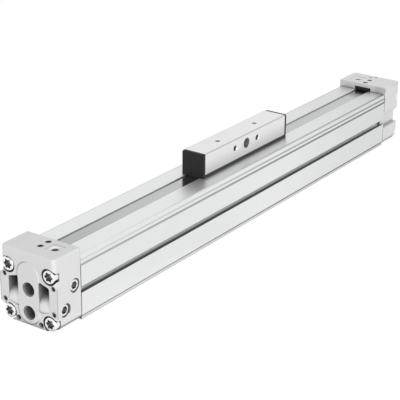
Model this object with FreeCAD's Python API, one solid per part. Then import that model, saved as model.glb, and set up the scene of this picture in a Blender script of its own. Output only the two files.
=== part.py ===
import FreeCAD, Part
import math
import os

# Rodless pneumatic cylinder, 25 mm bore, with a slotted barrel and a carriage on top.
# X runs along the stroke, the near end is at -X, Z is up, and the origin is the
# bottom centre of the whole cylinder. All sizes are in millimetres.

# Driving dimensions
bore_diameter = 25.0
stroke = 250.0
dead_length = 159.6
carriage_rest = 7.0

# Barrel profile
profile_width = 45.0
profile_height = 46.0
bore_height = 22.0
top_corner_radius = 2.2
top_line_drop = 3.5
top_line_depth = 0.4
top_line_width = 0.7
side_step = 0.35
side_step_drop = 6.8
side_line_depth = 0.7
side_line_width = 1.0
foot_line_height = 2.8
foot_inset = 0.4
foot_relief_width = 24.0
foot_relief_depth = 0.8
sensor_slot_drop = 0.275
sensor_slot_width = 4.55
sensor_slot_lip = 1.7
sensor_slot_inner_width = 7.85
sensor_slot_depth = 6.0
driver_slot_width = 7.0
channel_width = 12.4
channel_depth = 1.1
air_channel_diameter = 3.6
air_channel_offset = 10.5
air_channel_height = 5.6
gasket_thickness = 0.7
gasket_inset = 0.7

# Sealing bands
cover_band_width = 12.0
cover_band_thickness = 0.3
cover_band_lift = 4.2
inner_band_width = 9.2
inner_band_thickness = 0.9
inner_band_dip = 6.6
band_side_gap = 0.1
band_end_cover = 10.0

# End caps
cap_length = 25.5
cap_rise = 6.0
cap_top_radius = 1.0
cap_front_radius = 3.0
cap_foot_radius = 5.5
cap_foot_overlap = 0.1
cap_edge = 0.5
cheek_height_low = 9.5
cheek_drop = 12.0
cheek_bulge = 2.2
cheek_end_gap = 3.5
screw_side_inset = 5.2
screw_row_height = 5.5
screw_row_drop = 7.0
counterbore_diameter = 11.8
counterbore_depth = 5.0
port_thread_diameter = 9.73
port_mouth_diameter = 10.4
port_depth = 10.0
port_low_height = 8.9
port_high_rise = 3.6
boss_radius = 8.8
boss_slope = 1.0
boss_low_height = 10.3
boss_top_drop = 10.6
face_recess = 0.5
face_recess_fade = 7.0
core_inner_offset = 8.6
core_side_inset = 5.2
core_inner_low = 10.9
core_outer_low = 13.4
core_outer_drop = 15.2
core_inner_drop = 12.6
core_depth = 13.5
core_corner = 1.3
channel_boss_radius = 8.0
end_thread_diameter = 3.9
end_thread_depth = 4.0
end_thread_inset = 1.7
end_thread_low = 13.3
end_thread_drop = 14.4
base_thread_offset = 9.7
base_thread_height = 2.7
relief_height = 12.6
relief_depth = 4.0
top_thread_offset = 10.8
top_thread_setback = 15.0
top_thread_diameter = 5.0
top_thread_depth = 7.0
top_pad_length = 11.0
top_pad_width = 9.6
top_pad_depth = 0.25
pin_hole_diameter = 2.0
pin_hole_depth = 3.0
pin_hole_setbacks = (6.1, 3.5)
pin_hole_offsets = (-2.6, 1.3)
spigot_length = 6.0
spigot_clearance = 0.05
o_ring_section = 2.0
o_ring_setback = 2.0

# Screws and plugs in the end caps
cap_screw_diameter = 5.0
cap_screw_head_diameter = 9.5
cap_screw_head_height = 4.6
cap_screw_length = 36.0
cap_screw_hole = 5.5
thread_gap = 0.05
lobe_socket_radius = 2.7
lobe_socket_depth = 2.6
cushion_screw_inset = 6.3
cushion_screw_rise = 5.7
cushion_screw_diameter = 8.2
cushion_screw_length = 9.0
cushion_stem_diameter = 4.0
cushion_stem_length = 5.0
plug_setback = 9.0
plug_height = 13.9
plug_diameter = 8.2
plug_length = 6.0
plug_mouth_diameter = 10.0
plug_mouth_depth = 1.2
plug_sink = 0.3
plug_socket = 5.0
plug_socket_depth = 2.4
port_plug_length = 7.0
port_plug_socket = 5.0
clamp_width = 14.9
clamp_share = 0.45
clamp_length = 15.0
clamp_reach = 3.0
clamp_gap = 0.1
grub_screw_diameter = 4.2
grub_screw_sink = 0.4
grub_screw_socket = 2.0
grub_outer_setback = 13.2
grub_inner_inset = 4.5

# Cushioning
sleeve_diameter = 9.0
sleeve_bore = 5.0
sleeve_reach = 20.0
sleeve_seat = 5.0
buffer_thickness = 1.5
buffer_width = 5.0
stop_gap = 0.2

# Piston group
piston_clearance = 0.05
piston_length = 18.0
piston_seal_width = 3.0
piston_seal_depth = 2.6
guide_ring_width = 4.0
guide_ring_depth = 1.2
groove_wall = 2.5
magnet_thickness = 4.0
magnet_depth = 4.0
core_clearance = 0.4
core_socket_depth = 8.0
cushion_bore_gap = 0.8
cushion_seal_width = 2.0
foot_width = 17.0
foot_thickness = 2.6
foot_screw_diameter = 2.5
foot_screw_length = 7.0
foot_screw_sink = 0.3

# Carriage
carriage_length = 113.0
carriage_width = 19.2
carriage_height = 18.8
carriage_edge = 0.5
end_plate_thickness = 2.2
end_plate_corner = 1.4
strip_height = 1.4
strip_width = 0.6
running_gap = 0.1
yoke_length = 48.0
yoke_neck_gap = 0.1
yoke_flange_width = 17.4
yoke_flange_thickness = 2.7
yoke_screw_diameter = 1.8
yoke_screw_head_diameter = 2.5
yoke_screw_length = 7.0
yoke_screw_inset = 5.0
tunnel_wall = 3.4
tunnel_clearance = 0.7
shoe_length = 12.0
shoe_gap = 0.15
carriage_top_thread_spacing = 50.0
carriage_side_thread_spacing = 30.0
carriage_thread_diameter = 4.2
carriage_thread_depth = 9.0
carriage_locating_bore = 8.0
carriage_hole_rise = 11.6
thread_chamfer = 0.5

# Places that follow from the sizes above
barrel_length = stroke + dead_length
inner_length = barrel_length + 2 * gasket_thickness
overall_length = inner_length + 2 * cap_length
bore_radius = bore_diameter / 2
half_width = profile_width / 2
bore_top = bore_height + bore_radius
channel_floor = profile_height - channel_depth
cover_band_top = channel_floor + cover_band_thickness
inner_seat = bore_top + inner_band_thickness
piston_half = (inner_length / 2 - spigot_length - buffer_thickness
               - stroke / 2 - stop_gap)
core_half = piston_half - piston_length
carriage_bottom = profile_height + strip_height
carriage_top = profile_height + carriage_height
body_half = carriage_length / 2 - end_plate_thickness
yoke_half = yoke_length / 2
flange_bottom = profile_height + 3 * running_gap
flange_top = flange_bottom + yoke_flange_thickness
lifted_band = cover_band_top + cover_band_lift
tunnel_top = lifted_band + tunnel_clearance
ramp_run = body_half - yoke_half
carriage_hole_height = profile_height + carriage_hole_rise
cap_height = profile_height + cap_rise
clamp_height = clamp_share * cap_rise
screw_offset = half_width - screw_side_inset
screw_rows = (screw_row_height, profile_height - screw_row_drop)
side_step_height = profile_height - side_step_drop
sensor_slot_height = bore_height - sensor_slot_drop
port_heights = (port_low_height, bore_height + port_high_rise)
boss_top_height = profile_height - boss_top_drop
core_outer_offset = half_width - core_side_inset
end_thread_offset = half_width - end_thread_inset
cheek_height_high = profile_height - cheek_drop
cheek_length = cap_length - cheek_end_gap
cushion_screw_setback = cap_length - cushion_screw_inset
cushion_screw_height = bore_height + cushion_screw_rise
grub_setbacks = (grub_outer_setback, cap_length - grub_inner_inset)


def box(x0, x1, y0, y1, z0, z1):
    return Part.makeBox(x1 - x0, y1 - y0, z1 - z0, FreeCAD.Vector(x0, y0, z0))


def rod(radius, start, axis, length):
    return Part.makeCylinder(radius, length, FreeCAD.Vector(*start), FreeCAD.Vector(*axis))


def cone(radius_a, radius_b, start, axis, length):
    return Part.makeCone(radius_a, radius_b, length,
                         FreeCAD.Vector(*start), FreeCAD.Vector(*axis))


def along_x(points, x0, x1):
    """Prism along X over a closed outline of (y, z) points."""
    wire = Part.makePolygon([FreeCAD.Vector(x0, y, z) for y, z in points + points[:1]])
    return Part.Face(wire).extrude(FreeCAD.Vector(x1 - x0, 0, 0))


def along_y(points, y0, y1):
    """Prism along Y over a closed outline of (x, z) points."""
    wire = Part.makePolygon([FreeCAD.Vector(x, y0, z) for x, z in points + points[:1]])
    return Part.Face(wire).extrude(FreeCAD.Vector(0, y1 - y0, 0))


def along_z(points, z0, z1):
    """Prism along Z over a closed outline of (x, y) points."""
    wire = Part.makePolygon([FreeCAD.Vector(x, y, z0) for x, y in points + points[:1]])
    return Part.Face(wire).extrude(FreeCAD.Vector(0, 0, z1 - z0))


def carve(body, cutters):
    """Takes the cutters away one after the other."""
    for cutter in cutters:
        body = body.cut(cutter)
    return body


def both_sides(shape):
    """The shape and its mirror image across the XZ plane."""
    return [shape, shape.mirror(FreeCAD.Vector(0, 0, 0), FreeCAD.Vector(0, 1, 0))]


def hexagon(width, start, axis, length):
    """Hexagonal prism, width across flats, for a key socket."""
    radius = width / math.sqrt(3)
    points = [FreeCAD.Vector(radius * math.cos(math.pi * k / 3),
                             radius * math.sin(math.pi * k / 3), 0) for k in range(6)]
    prism = Part.Face(Part.makePolygon(points + points[:1])).extrude(FreeCAD.Vector(0, 0, length))
    turn = FreeCAD.Rotation(FreeCAD.Vector(0, 0, 1), FreeCAD.Vector(*axis))
    prism.Placement = FreeCAD.Placement(FreeCAD.Vector(*start), turn)
    return prism


def lobed_socket(start, length):
    """Six-lobed key socket along X."""
    x, y, z = start
    lobes = []
    for k in range(6):
        angle = math.pi * k / 3
        place = (x, y + lobe_socket_radius * math.cos(angle),
                 z + lobe_socket_radius * math.sin(angle))
        lobes.append(rod(0.3 * lobe_socket_radius, place, (1, 0, 0), length))
    return rod(lobe_socket_radius, start, (1, 0, 0), length).multiFuse(lobes)


def threaded_mouth(radius, mouth, axis, depth, chamfer):
    """Cutter for a blind threaded hole: the core drill and the mouth's chamfer."""
    inward = tuple(-a for a in axis)
    outside = tuple(m + a for m, a in zip(mouth, axis))
    drill = rod(radius, outside, inward, depth + 1)
    bevel = cone(radius + chamfer, radius, mouth, inward, chamfer)
    return drill.fuse(bevel)


def at_near(shape):
    """Moves a shape built from the outer face inwards to the near end."""
    moved = shape.copy()
    moved.translate(FreeCAD.Vector(-overall_length / 2, 0, 0))
    return moved


def at_far(shape):
    """The same shape at the far end, turned half a turn about Z."""
    moved = at_near(shape)
    moved.rotate(FreeCAD.Vector(0, 0, 0), FreeCAD.Vector(0, 0, 1), 180)
    return moved


def on_carriage(shape):
    """Moves a shape built about the carriage's middle to where the carriage rests."""
    moved = shape.copy()
    moved.translate(FreeCAD.Vector(carriage_rest, 0, 0))
    return moved


def profile_outline():
    """Outside of the extruded barrel as one closed wire in the YZ plane at x = 0."""
    inner = half_width - side_step
    foot = half_width - foot_inset
    half_line = side_line_width / 2
    half_top = top_line_width / 2
    low = foot_line_height
    high = side_step_height
    top = profile_height - top_line_drop
    right = [(0, foot_relief_depth), (foot_relief_width / 2 - foot_relief_depth, foot_relief_depth),
             (foot_relief_width / 2, 0), (foot - foot_inset, 0), (foot, foot_inset),
             (foot, low - half_line), (foot - side_line_depth, low),
             (half_width, low + half_line), (half_width, high - half_line),
             (half_width - side_line_depth, high), (inner, high + half_line),
             (inner, top - half_top), (inner - top_line_depth, top), (inner, top + half_top),
             (inner, profile_height - top_corner_radius)]
    corner = inner - top_corner_radius

    def vector(y, z):
        return FreeCAD.Vector(0, y, z)

    def side(sign):
        points = [vector(sign * y, z) for y, z in right]
        edges = [Part.LineSegment(a, b).toShape() for a, b in zip(points, points[1:])]
        bend = top_corner_radius * (1 - math.sqrt(0.5))
        middle = vector(sign * (inner - bend), profile_height - bend)
        end = vector(sign * corner, profile_height)
        edges.append(Part.Arc(points[-1], middle, end).toShape())
        edges.append(Part.LineSegment(end, vector(0, profile_height)).toShape())
        return edges

    return Part.Wire(Part.__sortEdges__(side(1) + side(-1)))


def profile_block(x0, x1):
    block = Part.Face(profile_outline()).extrude(FreeCAD.Vector(x1 - x0, 0, 0))
    block.translate(FreeCAD.Vector(x0, 0, 0))
    return block


def sensor_slot(x0, x1):
    """Cutter for the T-slot in the -Y side of the barrel."""
    lip = sensor_slot_width / 2
    inner = sensor_slot_inner_width / 2
    outside = -half_width - 1
    shelf = -half_width + sensor_slot_lip
    floor = -half_width + sensor_slot_depth
    taper = inner - lip
    z = sensor_slot_height
    return along_x([(outside, z - lip), (shelf, z - lip), (shelf, z - inner),
                    (floor - taper, z - inner), (floor, z - lip), (floor, z + lip),
                    (floor - taper, z + inner), (shelf, z + inner), (shelf, z + lip),
                    (outside, z + lip)], x0, x1)


def screw_places():
    return [(side * screw_offset, z) for side in (-1, 1) for z in screw_rows]


def barrel():
    half = barrel_length / 2
    body = profile_block(-half, half)
    cuts = both_sides(sensor_slot(-half - 1, half + 1))
    cuts.append(rod(bore_radius, (-half - 1, 0, bore_height), (1, 0, 0), barrel_length + 2))
    slot = driver_slot_width / 2
    cuts.append(box(-half - 1, half + 1, -slot, slot, bore_height, profile_height + 1))
    seat = inner_band_width / 2 + band_side_gap
    cuts.append(box(-half - 1, half + 1, -seat, seat, bore_height, inner_seat))
    channel = channel_width / 2
    cuts.append(box(-half - 1, half + 1, -channel, channel, channel_floor, profile_height + 1))
    for y in (-air_channel_offset, air_channel_offset):
        cuts.append(rod(air_channel_diameter / 2, (-half - 1, y, air_channel_height),
                        (1, 0, 0), barrel_length + 2))
    tap_radius = cap_screw_diameter / 2 + thread_gap
    tap_depth = counterbore_depth + cap_screw_length - cap_length - gasket_thickness + 1
    for y, z in screw_places():
        cuts.append(rod(tap_radius, (-half - 1, y, z), (1, 0, 0), tap_depth + 1))
        cuts.append(rod(tap_radius, (half + 1, y, z), (-1, 0, 0), tap_depth + 1))
    return body.cut(cuts)


def cap_gasket():
    """Flat seal between the barrel's end and the cap, set in from the outside."""
    x0, x1 = cap_length, cap_length + gasket_thickness
    sheet = box(x0, x1, -half_width + gasket_inset, half_width - gasket_inset,
                foot_relief_depth + gasket_inset, channel_floor - gasket_inset)
    cuts = [rod(bore_radius, (x0 - 1, 0, bore_height), (1, 0, 0), gasket_thickness + 2)]
    for y in (-air_channel_offset, air_channel_offset):
        cuts.append(rod(air_channel_diameter / 2, (x0 - 1, y, air_channel_height),
                        (1, 0, 0), gasket_thickness + 2))
    for y, z in screw_places():
        cuts.append(rod(cap_screw_hole / 2, (x0 - 1, y, z), (1, 0, 0), gasket_thickness + 2))
    return sheet.cut(cuts + both_sides(sensor_slot(x0 - 1, x1 + 1)))


def foot_corner():
    """What is left outside a cap's rounded lower corner, as a cutter along X."""
    centre = half_width - cap_foot_radius + cap_foot_overlap
    height = cap_foot_radius - cap_foot_overlap
    corner = box(-1, cap_length + 1, centre, half_width + 1, -1, height)
    return corner.cut(rod(cap_foot_radius, (-2, centre, height), (1, 0, 0), cap_length + 4))


def cap_block():
    """Outside of a cap: rounded upright front edges, a softened top and round lower corners."""
    block = box(0, cap_length, -half_width, half_width, 0, cap_height)
    upright = [e for e in block.Edges if abs(e.CenterOfMass.x) < 1e-6
               and abs(abs(e.CenterOfMass.y) - half_width) < 1e-6]
    block = block.makeFillet(cap_front_radius, upright)
    rim = [e for e in block.Edges if abs(e.CenterOfMass.z - cap_height) < 1e-6
           and e.CenterOfMass.x < cap_length - 1]
    block = block.makeFillet(cap_top_radius, rim)
    return carve(block, both_sides(foot_corner()))


def cheeks():
    """Side swellings of the near cap round its end threads, fading towards the barrel."""
    low, high = cheek_height_low, cheek_height_high
    bulge = half_width + cheek_bulge
    plan = [(0, 0), (0, bulge - cap_edge), (cap_edge, bulge), (2 * cap_edge, bulge),
            (cheek_length, half_width), (cheek_length, 0)]
    plate = along_z(plan, low, high)
    slope = [(0, low), (half_width - 1, low), (bulge + 0.1, low + cheek_bulge),
             (bulge + 0.1, high - cheek_bulge), (half_width - 1, high), (0, high)]
    return both_sides(plate.common(along_x(slope, 0, cheek_length)))


def core_pockets():
    """Cored-out hollows beside the ports, with the cross channel's boss left standing."""
    outline = [(core_inner_offset, core_inner_low), (core_outer_offset, core_outer_low),
               (core_outer_offset, profile_height - core_outer_drop),
               (core_inner_offset, profile_height - core_inner_drop)]
    pocket = along_x(outline, -1, core_depth)
    upright = [e for e in pocket.Edges if abs(e.Length - core_depth - 1) < 1e-6]
    pocket = pocket.makeFillet(core_corner, upright)
    boss = rod(channel_boss_radius, (plug_setback, -half_width, plug_height),
               (0, 1, 0), profile_width)
    return both_sides(pocket.cut(boss))


def port_boss():
    """Raised strip round the ports, round at both ends, with sloping sides."""
    reach = 2.0
    outer = boss_radius - reach * boss_slope
    inner = boss_radius + reach * boss_slope
    middle = along_z([(-reach, -outer), (reach, -inner), (reach, inner), (-reach, outer)],
                     boss_low_height, boss_top_height)
    return middle.fuse([cone(outer, inner, (-reach, 0, z), (1, 0, 0), 2 * reach)
                        for z in (boss_low_height, boss_top_height)])


def face_recess_cut():
    """Shallow step round the raised port boss, running out towards the cap's top."""
    top = boss_top_height + boss_radius
    wedge = along_y([(-1, -1), (face_recess, -1), (face_recess, top - face_recess_fade),
                     (0, top), (-1, top)], -2 * half_width, 2 * half_width)
    return wedge.cut(port_boss())


def slot_relief():
    """Cove in the far cap's plain side, in line with the sensor slot, to slide a sensor in."""
    low = sensor_slot_height - relief_height / 2
    high = sensor_slot_height + relief_height / 2
    floor = half_width - relief_depth
    cove = 0.5 * relief_depth
    outline = [(half_width + 1, low), (floor, low), (floor, high - 2 * cove),
               (floor + 0.3 * cove, high - cove), (half_width - 0.5 * cove, high - 0.2 * cove),
               (half_width, high + cove), (half_width + 1, high + cove)]
    return [along_x(outline, -1, cap_length + 1)]


def clamp_pocket():
    """Room in the cap's inner face for the band clamp and the end of the cover band."""
    x0 = cap_length - clamp_length - clamp_gap
    wide = clamp_width / 2 + clamp_gap
    top = profile_height + clamp_height + clamp_gap
    return box(x0, cap_length + 1, -wide, wide, channel_floor, top)


def end_thread_cuts():
    """Threads in the near cap's side swellings."""
    return [rod(end_thread_diameter / 2, (-1, y, z), (1, 0, 0), end_thread_depth + 1)
            for y in (-end_thread_offset, end_thread_offset)
            for z in (end_thread_low, profile_height - end_thread_drop)]


def pin_holes():
    """Two small blind holes near the outer edge of the far cap's top."""
    return [rod(pin_hole_diameter / 2, (setback, offset, cap_height + 1), (0, 0, -1),
                pin_hole_depth + 1)
            for setback, offset in zip(pin_hole_setbacks, pin_hole_offsets)]


def cap_cuts():
    """Everything that is cut out of both caps."""
    cuts = [face_recess_cut(), clamp_pocket()]
    for y, z in screw_places():
        cuts.append(rod(counterbore_diameter / 2, (-1, y, z), (1, 0, 0), counterbore_depth + 1))
        cuts.append(rod(cap_screw_hole / 2, (0, y, z), (1, 0, 0), cap_length + 1))
    mouth = (port_mouth_diameter - port_thread_diameter) / 2
    for z in port_heights:
        cuts.append(threaded_mouth(port_thread_diameter / 2, (0, 0, z), (-1, 0, 0),
                                   port_depth, mouth))
    cuts += core_pockets()
    for y in (-base_thread_offset, base_thread_offset):
        cuts.append(rod(end_thread_diameter / 2, (-1, y, base_thread_height),
                        (1, 0, 0), end_thread_depth + 1))
    for setback in grub_setbacks:
        cuts.append(threaded_mouth(grub_screw_diameter / 2 + thread_gap,
                                   (setback, 0, cap_height), (0, 0, 1),
                                   cap_height - profile_height - clamp_height, thread_chamfer))
    pad = [top_thread_setback - top_pad_length / 2, top_thread_setback + top_pad_length / 2,
           -top_thread_offset - top_pad_width / 2, -top_thread_offset + top_pad_width / 2]
    cuts.append(box(*pad, cap_height - top_pad_depth, cap_height + 1))
    cuts.append(threaded_mouth(top_thread_diameter / 2,
                               (top_thread_setback, -top_thread_offset, cap_height - top_pad_depth),
                               (0, 0, 1), top_thread_depth, 2 * thread_chamfer))
    return cuts + side_plug_cuts() + air_passages()


def side_plug_cuts():
    """Stepped holes in the -Y side for the cushion screw and the channel plug."""
    face = -half_width - cheek_bulge - 1
    mouth = half_width - plug_mouth_depth
    cuts = []
    for setback, z, diameter, depth in (
            (cushion_screw_setback, cushion_screw_height, cushion_screw_diameter,
             cushion_screw_length + cushion_stem_length),
            (plug_setback, plug_height, plug_diameter, plug_length)):
        cuts.append(rod(plug_mouth_diameter / 2, (setback, face, z), (0, 1, 0), -mouth - face))
        cuts.append(rod(diameter / 2 + thread_gap, (setback, face, z), (0, 1, 0),
                        depth + plug_sink - half_width - face))
    return cuts


def air_passages():
    """Ways from the ports to the bore, past the cushion needle and to the barrel's channels."""
    inner_face = cap_length + spigot_length
    seat_start = cap_length - sleeve_seat
    way = air_channel_diameter / 2
    needle_end = -half_width + plug_sink + cushion_screw_length + cushion_stem_length
    cuts = [rod(sleeve_bore / 2, (port_depth - 1, 0, bore_height), (1, 0, 0), seat_start),
            rod(sleeve_diameter / 2, (seat_start, 0, bore_height), (1, 0, 0), inner_face),
            rod(way, (plug_setback, -half_width + plug_length, plug_height), (0, 1, 0),
                half_width - plug_length + air_channel_offset),
            rod(way / 2, (cushion_screw_setback, needle_end - 1, cushion_screw_height),
                (0, 1, 0), 1 - needle_end),
            box(cushion_screw_setback - way / 2, cushion_screw_setback + way / 2,
                -way / 2, way / 2, bore_height, cushion_screw_height + way / 2),
            rod(way / 2, (cushion_screw_setback, needle_end - 1, cushion_screw_height),
                (1, 0, 0), inner_face)]
    for y in (-air_channel_offset, air_channel_offset):
        cuts.append(rod(way, (plug_setback - way, y, air_channel_height), (1, 0, 0), cap_length))
        cuts.append(box(plug_setback - way, plug_setback + way, y - way, y + way,
                        air_channel_height, plug_height))
    return cuts


def cap_spigot():
    """Round shoulder that enters the bore, with the groove for its O-ring."""
    radius = bore_radius - spigot_clearance
    spigot = rod(radius, (cap_length, 0, bore_height), (1, 0, 0), spigot_length)
    start = cap_length + o_ring_setback
    groove = rod(radius + 1, (start, 0, bore_height), (1, 0, 0), o_ring_section)
    groove = groove.cut(rod(radius - o_ring_section, (start - 1, 0, bore_height),
                            (1, 0, 0), o_ring_section + 2))
    return spigot.cut(groove)


def end_cap(near):
    body = cap_block()
    if near:
        body = body.fuse(cheeks())
    body = body.fuse(cap_spigot())
    cuts = cap_cuts() + (end_thread_cuts() if near else slot_relief() + pin_holes())
    return carve(body, cuts)


def spigot_o_ring():
    radius = bore_radius - spigot_clearance - o_ring_section / 2
    centre = cap_length + o_ring_setback + o_ring_section / 2
    return Part.makeTorus(radius, o_ring_section / 2, FreeCAD.Vector(centre, 0, bore_height),
                          FreeCAD.Vector(1, 0, 0))


def cap_screw(y, z):
    """Socket head screw along X, with a rounded head edge and a six-lobed socket."""
    seat = counterbore_depth
    head = rod(cap_screw_head_diameter / 2, (seat - cap_screw_head_height, y, z),
               (1, 0, 0), cap_screw_head_height)
    rim = [e for e in head.Edges if abs(e.CenterOfMass.x - seat + cap_screw_head_height) < 1e-6]
    head = head.makeChamfer(0.4, rim[:1])
    shank = rod(cap_screw_diameter / 2, (seat, y, z), (1, 0, 0), cap_screw_length)
    socket = lobed_socket((seat - cap_screw_head_height - 1, y, z), lobe_socket_depth + 1)
    return head.fuse(shank).cut(socket)


def cap_screws():
    return Part.makeCompound([cap_screw(y, z) for y, z in screw_places()])


def socket_plug(setback, z, diameter, length):
    """Threaded plug along Y, sunk a little in the -Y side, with a hexagon socket."""
    face = -half_width + plug_sink
    body = rod(diameter / 2, (setback, face, z), (0, 1, 0), length)
    rim = [e for e in body.Edges if abs(e.CenterOfMass.y - face) < 1e-6]
    body = body.makeChamfer(0.4, rim[:1])
    return body.cut(hexagon(plug_socket, (setback, face - 1, z), (0, 1, 0), plug_socket_depth + 1))


def channel_plug():
    return socket_plug(plug_setback, plug_height, plug_diameter, plug_length)


def cushion_screw():
    """Adjusting needle: a socket plug with a thinner stem, seated on its axis."""
    body = socket_plug(cushion_screw_setback, cushion_screw_height,
                       cushion_screw_diameter, cushion_screw_length)
    start = (cushion_screw_setback, -half_width + plug_sink + cushion_screw_length,
             cushion_screw_height)
    stem = cone(cushion_stem_diameter / 2, cushion_stem_diameter / 4, start,
                (0, 1, 0), cushion_stem_length)
    return body.fuse(stem)


def port_plug(z):
    """Blanking plug in one port of the far cap."""
    start = port_mouth_diameter / 2 - port_thread_diameter / 2
    body = rod(port_thread_diameter / 2 - thread_gap, (start, 0, z), (1, 0, 0), port_plug_length)
    return body.cut(hexagon(port_plug_socket, (start - 1, 0, z), (1, 0, 0), plug_socket_depth + 1))


def port_plugs():
    return Part.makeCompound([port_plug(z) for z in port_heights])


def band_clamp():
    """Plastic block that holds the cover band down and shows beside the cap."""
    x0, x1 = cap_length - clamp_length, cap_length + clamp_reach
    upper = box(x0, x1, -clamp_width / 2, clamp_width / 2,
                profile_height + clamp_gap, profile_height + clamp_height)
    corners = [e for e in upper.Edges if abs(e.CenterOfMass.x - x1) < 1e-6
               and abs(abs(e.CenterOfMass.y) - clamp_width / 2) < 1e-6]
    upper = upper.makeFillet(0.8, corners)
    lower = box(x0, cap_length, -cover_band_width / 2, cover_band_width / 2,
                cover_band_top, profile_height + 2 * clamp_gap)
    return upper.fuse(lower)


def grub_screw(setback):
    bottom = profile_height + clamp_height
    length = cap_height - grub_screw_sink - bottom
    body = rod(grub_screw_diameter / 2, (setback, 0, bottom), (0, 0, 1), length)
    return body.cut(hexagon(grub_screw_socket, (setback, 0, bottom + 0.4 * length),
                            (0, 0, 1), length))


def grub_screws():
    return Part.makeCompound([grub_screw(setback) for setback in grub_setbacks])


def cushion_sleeve():
    start = cap_length - sleeve_seat
    length = sleeve_seat + spigot_length + sleeve_reach
    tube = rod(sleeve_diameter / 2, (start, 0, bore_height), (1, 0, 0), length)
    tip = [e for e in tube.Edges if abs(e.CenterOfMass.x - start - length) < 1e-6]
    tube = tube.makeChamfer(0.8, tip[:1])
    return tube.cut(rod(sleeve_bore / 2, (start - 1, 0, bore_height), (1, 0, 0), length + 2))


def end_buffer():
    """Rubber ring on the spigot's face that the piston meets at the end of its stroke."""
    start = (cap_length + spigot_length, 0, bore_height)
    outer = bore_radius - 1.0
    ring = rod(outer, start, (1, 0, 0), buffer_thickness)
    return ring.cut(rod(outer - buffer_width, (start[0] - 1, 0, bore_height), (1, 0, 0),
                        buffer_thickness + 2))


def band_path(level, low_level, flat, run, end, thickness):
    """Side outline of a band that leaves its level to pass the yoke."""
    upper = [(-end, level), (-flat - run, level), (-flat, low_level),
             (flat, low_level), (flat + run, level), (end, level)]
    lower = [(x, z - thickness) for x, z in reversed(upper)]
    return upper + lower


def cover_band():
    """Steel band in the top channel, lifted over the yoke inside the carriage."""
    end = inner_length / 2 + band_end_cover
    outline = [(x + carriage_rest * (abs(x) < end), z) for x, z in
               band_path(cover_band_top, lifted_band, yoke_half, ramp_run - 2 * running_gap,
                         end, cover_band_thickness)]
    return along_y(outline, -cover_band_width / 2, cover_band_width / 2)


def inner_band():
    """Inner sealing band against the bore's slot, dipping under the yoke's foot."""
    end = barrel_length / 2
    run = core_half - magnet_thickness - yoke_half - 1.0
    outline = [(x + carriage_rest * (abs(x) < end), z) for x, z in
               band_path(inner_seat, inner_seat - inner_band_dip, yoke_half, run,
                         end, inner_band_thickness)]
    return along_y(outline, -inner_band_width / 2, inner_band_width / 2)


def piston_radius():
    return bore_radius - piston_clearance


def piston_ring(start, width, depth):
    """Ring round the piston in a groove of the same size."""
    ring = rod(piston_radius() + 0.01, (start, 0, bore_height), (-1, 0, 0), width)
    return ring.cut(rod(piston_radius() - depth, (start + 1, 0, bore_height), (-1, 0, 0), width + 2))


def ring_starts():
    """Where the seal, the guide ring and the magnet start, inwards from the piston's face."""
    seal = piston_half - groove_wall
    guide = seal - piston_seal_width - groove_wall
    return seal, guide


def piston():
    """Piston head at the +X end of the group, bored to take the cushion sleeve."""
    head = rod(piston_radius(), (core_half, 0, bore_height), (1, 0, 0), piston_length)
    seal, guide = ring_starts()
    bore = sleeve_diameter / 2 + cushion_bore_gap
    cuts = [piston_ring(seal, piston_seal_width, piston_seal_depth),
            piston_ring(guide, guide_ring_width, guide_ring_depth),
            rod(bore, (core_half - 1, 0, bore_height), (1, 0, 0), piston_length + 2)]
    seat = rod(bore + 1.5, (piston_half - cushion_seal_width, 0, bore_height), (1, 0, 0),
               cushion_seal_width + 1)
    return head.cut(cuts + [seat])


def piston_seal():
    """Lip seal: a ring with a V-shaped mouth towards the pressure."""
    seal, _ = ring_starts()
    ring = piston_ring(seal, piston_seal_width, piston_seal_depth)
    middle = piston_radius() - piston_seal_depth / 2
    outer = cone(middle + 0.7, middle, (seal + 0.001, 0, bore_height), (-1, 0, 0), 1.4)
    inner = cone(middle - 0.7, middle - 0.01, (seal + 0.001, 0, bore_height), (-1, 0, 0), 1.4)
    return ring.cut(outer.cut(inner))


def guide_ring():
    _, guide = ring_starts()
    return piston_ring(guide, guide_ring_width, guide_ring_depth)


def cushion_seal():
    """Seal ring in the mouth of the piston's bore, which closes on the sleeve."""
    bore = sleeve_diameter / 2 + cushion_bore_gap
    ring = rod(bore + 1.5, (piston_half - cushion_seal_width, 0, bore_height), (1, 0, 0),
               cushion_seal_width)
    hole = rod(sleeve_diameter / 2 + 0.1, (piston_half - cushion_seal_width - 1, 0, bore_height),
               (1, 0, 0), cushion_seal_width + 2)
    return ring.cut(hole)


def magnet_cut():
    """Ring groove in the core's end for the sensing magnet."""
    radius = bore_radius - core_clearance
    ring = rod(radius + 1, (core_half, 0, bore_height), (-1, 0, 0), magnet_thickness)
    return ring.cut(rod(radius - magnet_depth, (core_half + 1, 0, bore_height), (-1, 0, 0),
                        magnet_thickness + 2))


def magnet():
    radius = bore_radius - core_clearance
    ring = rod(radius, (core_half, 0, bore_height), (-1, 0, 0), magnet_thickness)
    return ring.cut(rod(radius - magnet_depth, (core_half + 1, 0, bore_height), (-1, 0, 0),
                        magnet_thickness + 2))


def inner_passage():
    """Room over the core for the dipping inner band and for the yoke's foot."""
    floor = inner_seat - inner_band_dip - inner_band_thickness - band_side_gap * 3
    edge = bore_top - inner_band_thickness
    points = [(-core_half + magnet_thickness, bore_top + 1), (-core_half + magnet_thickness, edge),
              (-yoke_half - 1, floor), (yoke_half + 1, floor),
              (core_half - magnet_thickness, edge), (core_half - magnet_thickness, bore_top + 1)]
    wide = inner_band_width / 2 + 4 * band_side_gap
    return along_y(points, -wide, wide)


def foot_bottom():
    """Underside of the yoke's foot, just over the dipped inner band."""
    return inner_seat - inner_band_dip + 2 * running_gap


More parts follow.
